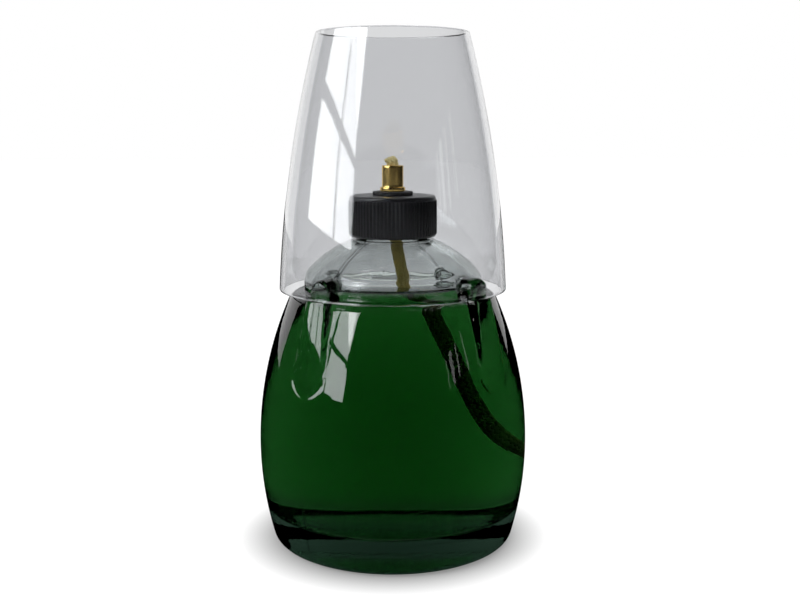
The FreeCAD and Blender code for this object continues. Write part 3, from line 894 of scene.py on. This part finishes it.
# %% Glass and oil
GLASS_IOR, CHIMNEY_IOR, OIL_IOR, NO_BEND = 1.5, 1.47, 1.44, 1.0
GLASS_COLOUR, GLASS_DENSITY = (0.38, 0.5, 0.44, 1), 88.0
OIL_COLOUR, OIL_DENSITY = (0.1, 0.5, 0.14, 1), 76.0
SEAM_TURN = math.radians(45)


def absorbing(recipe, colour, density):
    """A volume that takes out what the colour lacks, by the metre."""
    return recipe.signal("ShaderNodeVolumeAbsorption", "Volume", None, {"Color": colour, "Density": density})


def bottle_glass(recipe):
    waves = recipe.noise(14, 2.0) * 0.8 + recipe.noise(4, 2.0) * 0.2
    wetted = recipe.signal("ShaderNodeAttribute", "Fac", {"attribute_name": "wet"})
    across = {0: recipe.place(), 1: (-math.sin(SEAM_TURN), math.cos(SEAM_TURN), 0)}
    from_seam = recipe.signal("ShaderNodeVectorMath", "Value", {"operation": "DOT_PRODUCT"}, across)
    seam = recipe.fade(from_seam * from_seam, 0.01, 0.12, 1.0, 0.0)
    smears = recipe.fade(recipe.noise(9, 5.0, 0.65), 0.5, 0.8, 0.0, 0.05)
    return {
        "Base Color": (0.97, 0.97, 0.98, 1),
        "Roughness": smears,
        "IOR": GLASS_IOR,
        "Transmission Weight": 1.0,
        "Normal": recipe.bump(waves + 1.2 * seam, 0.12),
        "Volume": absorbing(recipe, GLASS_COLOUR, GLASS_DENSITY),
        "Second": (wetted, {"IOR": GLASS_IOR / OIL_IOR}),
    }


def chimney_glass(recipe):
    streaks = recipe.noise(6, 2.0, 0.5, (1, 1, 0.06))
    smears = recipe.fade(recipe.noise(12, 5.0, 0.65), 0.5, 0.8, 0.0, 0.04)
    return {
        "Base Color": (0.755, 0.76, 0.772, 1),
        "Roughness": smears,
        "IOR": CHIMNEY_IOR,
        "Transmission Weight": 1.0,
        "Normal": recipe.bump(streaks, 0.03),
    }


def green_oil(recipe):
    wetted = recipe.signal("ShaderNodeAttribute", "Fac", {"attribute_name": "wet"})
    return {
        "Base Color": (1, 1, 1, 1),
        "Roughness": 0.0,
        "IOR": OIL_IOR,
        "Transmission Weight": 1.0,
        "Volume": absorbing(recipe, OIL_COLOUR, OIL_DENSITY),
        "Second": (wetted, {"IOR": NO_BEND}),
    }


def mark_wet(piece, is_wet):
    """Keep on each point of a piece whether oil and glass touch there."""
    wet = piece.data.attributes.new("wet", "FLOAT", "POINT")
    for vertex, mark in zip(piece.data.vertices, wet.data):
        mark.value = float(is_wet(math.hypot(vertex.co.x, vertex.co.y) / MM, vertex.co.z / MM))


def on_inner_wall(radius, height):
    if not FLOOR - 0.3 < height < OIL_LEVEL:
        return False
    bore = barrel_point(height, WALL)[0] if height < INNER_TOP + 0.3 else BAND - WALL
    return radius < bore + 0.3


mark_wet(bottle, on_inner_wall)
mark_wet(oil, lambda radius, height: height < OIL_LEVEL - 0.01)
dress(bottle, finish("bottle_glass", bottle_glass))
dress(chimney, finish("chimney_glass", chimney_glass))
dress(oil, finish("green_oil", green_oil))

# %% [markdown]
# The cap is black moulded plastic with a fine satin grain and light scuffs from handling. The washer is
# duller rubber. The seal is white foam.

# %% Cap, washer and seal


def cap_plastic(recipe):
    grain = recipe.noise(0.25, 3.0)
    scuffs = recipe.fade(recipe.noise(2.2, 6.0, 0.7, (1, 1, 3)), 0.58, 0.72)
    return {
        "Base Color": recipe.mix(scuffs, (0.007, 0.0075, 0.01, 1), (0.02, 0.02, 0.024, 1)),
        "Roughness": 0.28 + 0.06 * grain + 0.06 * scuffs,
        "IOR": 1.5,
        "Normal": recipe.bump(grain, 0.003),
    }


def washer_rubber(recipe):
    grain = recipe.noise(0.4, 4.0)
    dust = recipe.fade(recipe.noise(1.5, 5.0, 0.7), 0.55, 0.8)
    return {
        "Base Color": recipe.mix(dust, (0.018, 0.018, 0.02, 1), (0.06, 0.058, 0.052, 1)),
        "Roughness": 0.5 + 0.25 * grain,
        "Normal": recipe.bump(grain, 0.03),
    }


def liner_foam(recipe):
    cells = recipe.noise(0.3, 4.0)
    return {
        "Base Color": recipe.mix(cells, (0.8, 0.79, 0.74, 1), (0.9, 0.89, 0.86, 1)),
        "Roughness": 0.75 + 0.2 * cells,
        "Normal": recipe.bump(cells, 0.05),
    }


dress(screw_cap, finish("cap_plastic", cap_plastic))
dress(washer, finish("washer_rubber", washer_rubber))
dress(seal, finish("liner_foam", liner_foam))

# %% [markdown]
# The tube is turned brass. The tool leaves fine rings, and heat and fingers leave browner patches. The nut
# is the same metal, less polished and more tarnished.

# %% Brass


def brass(recipe, polish, tarnish_share):
    rings = recipe.noise(0.22, 2.0, 0.5, (0.02, 0.02, 1))
    tarnish = recipe.fade(recipe.noise(2.5, 5.0, 0.6), 0.62 - tarnish_share, 0.85)
    return {
        "Base Color": recipe.mix(tarnish, (0.95, 0.68, 0.23, 1), (0.5, 0.3, 0.08, 1)),
        "Metallic": 1.0,
        "Roughness": polish + 0.05 * rings + 0.2 * tarnish,
        "Normal": recipe.bump(rings, 0.001),
    }


dress(brass_tube, finish("burner_brass", lambda recipe: brass(recipe, 0.15, 0.0)))
dress(nut, finish("nut_brass", lambda recipe: brass(recipe, 0.25, 0.25)))

# %% [markdown]
# The wick is undyed cotton. Oil has soaked it below the tube, and it looks darker still where it hangs in
# the oil. Fine streaks stand in for its fibres, and its tip is paler with a few singed ends.

# %% Cotton


def wick_cotton(recipe):
    height = recipe.signal("ShaderNodeSeparateXYZ", "Z", None, {"Vector": recipe.place()})
    fibres = recipe.noise(0.35, 4.0, 0.65, (1, 1, 0.5))
    clouds = recipe.noise(3.0, 3.0)
    dry = recipe.fade(height, TUBE_TOP - 2, TUBE_TOP + 1.5)
    singed = recipe.fade(height + 1.5 * fibres, WICK_TIP - 0.2, WICK_TIP + 1.4)
    sunk = recipe.fade(height, OIL_LEVEL - 6, OIL_LEVEL, 0.65, 0.0)
    moist = recipe.mix(fibres, (0.8, 0.54, 0.13, 1), (1.0, 0.82, 0.36, 1))
    soaked = recipe.mix(sunk, moist, (0.1, 0.08, 0.03, 1))
    pale = recipe.mix(fibres, (0.38, 0.32, 0.12, 1), (0.7, 0.62, 0.32, 1))
    cotton = recipe.mix(dry, soaked, pale)
    return {
        "Base Color": recipe.mix(singed * 0.6 * clouds, cotton, (0.16, 0.1, 0.05, 1)),
        "Roughness": 0.55 + 0.35 * fibres,
        "Normal": recipe.bump(fibres, 0.12),
    }


cotton = finish("wick_cotton", wick_cotton)
for piece in (wick_tail, wick_tip):
    dress(piece, cotton)
print("materials", [m.name for m in bpy.data.materials if m.users])

# %% [markdown]
# The lamp stands on a plain white table in a white room. The room is white to the camera, in mirrors and
# through glass, and half as bright to what is dull. The table's glow is turned down under the lamp and
# close round its foot, as a painted shadow, and it glows more with distance, so that it runs into the room
# with no edge.

# %% Room and table
ROOM_LIGHT = 0.5
TABLE_DROP = 0.4
TABLE_GREY = 0.22
# The radii where the table's painted shadow fades out, the glow inside that painted shadow, then the table's
# full glow.
SHADOW_FADE_START, SHADOW_FADE_END, SHADOWED_GLOW, TABLE_GLOW = 0.04, 0.055, 0.25, 0.82
FAR_START, FAR_END, FAR_GLOW = 0.5, 2.0, 0.1

room = bpy.data.worlds.new("room")
bpy.context.scene.world = room
room.use_nodes = True
recipe = Recipe(room.node_tree)


def seen_directly(recipe):
    """1 on rays that should see the white room itself, and 0 on rays that gather light."""
    ray = recipe.node("ShaderNodeLightPath")
    share = Signal(recipe, ray.outputs["Is Camera Ray"])
    for name in ("Is Glossy Ray", "Is Transmission Ray"):
        share = share + Signal(recipe, ray.outputs[name])
    return recipe.fade(share, 0, 1)


seen = seen_directly(recipe)
level = ROOM_LIGHT + (1 - ROOM_LIGHT) * seen
white = {"Color": (1, 1, 1, 1), "Strength": level}
backdrop = recipe.signal("ShaderNodeBackground", "Background", None, white)
recipe.node("ShaderNodeOutputWorld", None, {"Surface": backdrop})


def plain_board(name, size, place, turn=(0, 0, 0)):
    """A flat board of the stage, which isn't part of the lamp."""
    deselect_all()
    bpy.ops.mesh.primitive_plane_add(size=1, location=place, rotation=turn)
    board = bpy.context.object
    board.name = name
    board.scale = (*size, 1)
    return board


table = plain_board("table", (8, 8), (0, 0, -TABLE_DROP * MM))
paper = bpy.data.materials.new("white_table")
paper.use_nodes = True
recipe = Recipe(paper.node_tree)
spot = recipe.signal("ShaderNodeNewGeometry", "Position")
away = recipe.signal("ShaderNodeVectorMath", "Value", {"operation": "LENGTH"}, {0: spot})
# Painted shadow: the glow is low under the lamp and close round its foot, and rises to the table's full glow
# a little further out.
glow_with_painted_shadow = recipe.fade(away, SHADOW_FADE_START, SHADOW_FADE_END, SHADOWED_GLOW, TABLE_GLOW)
far_glow = recipe.fade(away, FAR_START, FAR_END, 0.0, FAR_GLOW)
glow_level = seen_directly(recipe) * (glow_with_painted_shadow + far_glow)
matt = {"Color": (TABLE_GREY, TABLE_GREY, TABLE_GREY, 1)}
diffuse = recipe.signal("ShaderNodeBsdfDiffuse", "BSDF", None, matt)
glow = recipe.signal("ShaderNodeEmission", "Emission", None, {"Strength": glow_level})
both = recipe.signal("ShaderNodeAddShader", "Shader", None, {0: diffuse, 1: glow})
recipe.node("ShaderNodeOutputMaterial", None, {"Surface": both})
dress(table, paper)
print("table", TABLE_DROP, "mm under the lamp")

# %% [markdown]
# Glass shows what it mirrors. A long window on the left, with bars between its panes, makes the slanted
# bright patches on the chimney and the barrel, and a slatted blind on the right makes thin upright
# streaks. Black cloth in front, at the sides, above and on the table keeps the rest of the mirror images
# dark, as a photographer hangs it to bring out the oil's own colour. All of it shows in reflections only,
# so it neither floods nor shades the lamp.

# %% Window and black cloth
WINDOW_X = -0.9
PANES_Y = [(-0.82, -0.4), (-0.36, 0.2)]
PANES_Z = [(0.16, 0.41), (0.45, 1.15)]
WINDOW_GLOW = 7.0
SLATS_Y = [(-0.9, -0.87), (-0.78, -0.7), (-0.6, -0.57), (-0.4, -0.38)]
SLAT_LENGTH, SLAT_HEIGHT, SLAT_GLOW = 0.22, 0.36, 1.6
CLOTH_Y = -1.2
SIDE_CLOTH_X = 1.0
SIDE_CLOTH_BACK = 0.8
CLOTH_TOP, TOP_CLOTH_DEPTH = 1.2, 1.8
UPRIGHT = math.pi / 2


def mirrored(name, colour, strength):
    """A material that shows in mirror images and lets every other ray pass."""
    material = bpy.data.materials.new(name)
    material.use_nodes = True
    recipe = Recipe(material.node_tree)
    ray = recipe.node("ShaderNodeLightPath")
    bounced = recipe.fade(Signal(recipe, ray.outputs["Glossy Depth"]), 0, 1)
    clear = recipe.signal("ShaderNodeBsdfTransparent", "BSDF")
    light = recipe.signal("ShaderNodeEmission", "Emission", None, {"Color": colour, "Strength": strength})
    shown = recipe.signal("ShaderNodeMixShader", "Shader", None, {0: bounced, 1: clear, 2: light})
    recipe.node("ShaderNodeOutputMaterial", None, {"Surface": shown})
    return material


def hang(board, material):
    dress(board, material)
    board.visible_camera = board.visible_diffuse = board.visible_shadow = False


window_light = mirrored("window_light", (0.96, 0.98, 1, 1), WINDOW_GLOW)
for row, (low, high) in enumerate(PANES_Z):
    for column, (near, far) in enumerate(PANES_Y):
        middle = (WINDOW_X, (near + far) / 2, (low + high) / 2)
        pane = plain_board(f"pane_{row}_{column}", (high - low, far - near), middle, (0, UPRIGHT, 0))
        hang(pane, window_light)
black_cloth = mirrored("black_cloth", (0, 0, 0, 1), 0.0)
slat_light = mirrored("slat_light", (1, 1, 1, 1), SLAT_GLOW)
for number, (near, far) in enumerate(SLATS_Y):
    middle = (-WINDOW_X, (near + far) / 2, SLAT_HEIGHT)
    slat = plain_board(f"slat_{number}", (SLAT_LENGTH, far - near), middle, (0, UPRIGHT, 0))
    hang(slat, slat_light)
cloth_depth = SIDE_CLOTH_BACK - CLOTH_Y
side_middle = (SIDE_CLOTH_BACK + CLOTH_Y) / 2, CLOTH_TOP / 2
cloths = [
    plain_board("front_cloth", (4, CLOTH_TOP), (0, CLOTH_Y, CLOTH_TOP / 2), (UPRIGHT, 0, 0)),
    plain_board("left_cloth", (CLOTH_TOP, cloth_depth), (-SIDE_CLOTH_X, *side_middle), (0, UPRIGHT, 0)),
    plain_board("right_cloth", (CLOTH_TOP, cloth_depth), (SIDE_CLOTH_X, *side_middle), (0, UPRIGHT, 0)),
    plain_board(
        "top_cloth", (2 * SIDE_CLOTH_X, TOP_CLOTH_DEPTH), (0, CLOTH_Y + TOP_CLOTH_DEPTH / 2, CLOTH_TOP)
    ),
    plain_board("table_cloth", (4, 4), (0, 0, -TABLE_DROP * MM / 2)),
]
for cloth in cloths:
    hang(cloth, black_cloth)
cloths[-1].visible_transmission = False
print("panes", len(PANES_Y) * len(PANES_Z), "slats", len(SLATS_Y), "cloths", len(cloths))

# %% [markdown]
# Two soft lamps give the plain light, one from the side of the window and one from above.

# %% Lamps


def soft_lamp(name, place, size, power):
    light = bpy.data.lights.new(name, "AREA")
    light.shape = "RECTANGLE"
    light.size, light.size_y = size
    light.energy = power
    lamp = bpy.data.objects.new(name, light)
    bpy.context.scene.collection.objects.link(lamp)
    lamp.location = place
    aim = Vector((0, 0, 0.1)) - lamp.location
    lamp.rotation_euler = aim.to_track_quat("-Z", "Y").to_euler()
    lamp.visible_camera = False
    print(name, power, "W")


soft_lamp("left_lamp", (-0.9, -0.5, 0.8), (0.6, 0.6), 9)
soft_lamp("top_lamp", (0.2, 0.2, 1.3), (0.9, 0.9), 14)

# %% [markdown]
# Last, the colours are left as the materials make them.

# %% Finish
bpy.context.scene.view_settings.view_transform = "Standard"
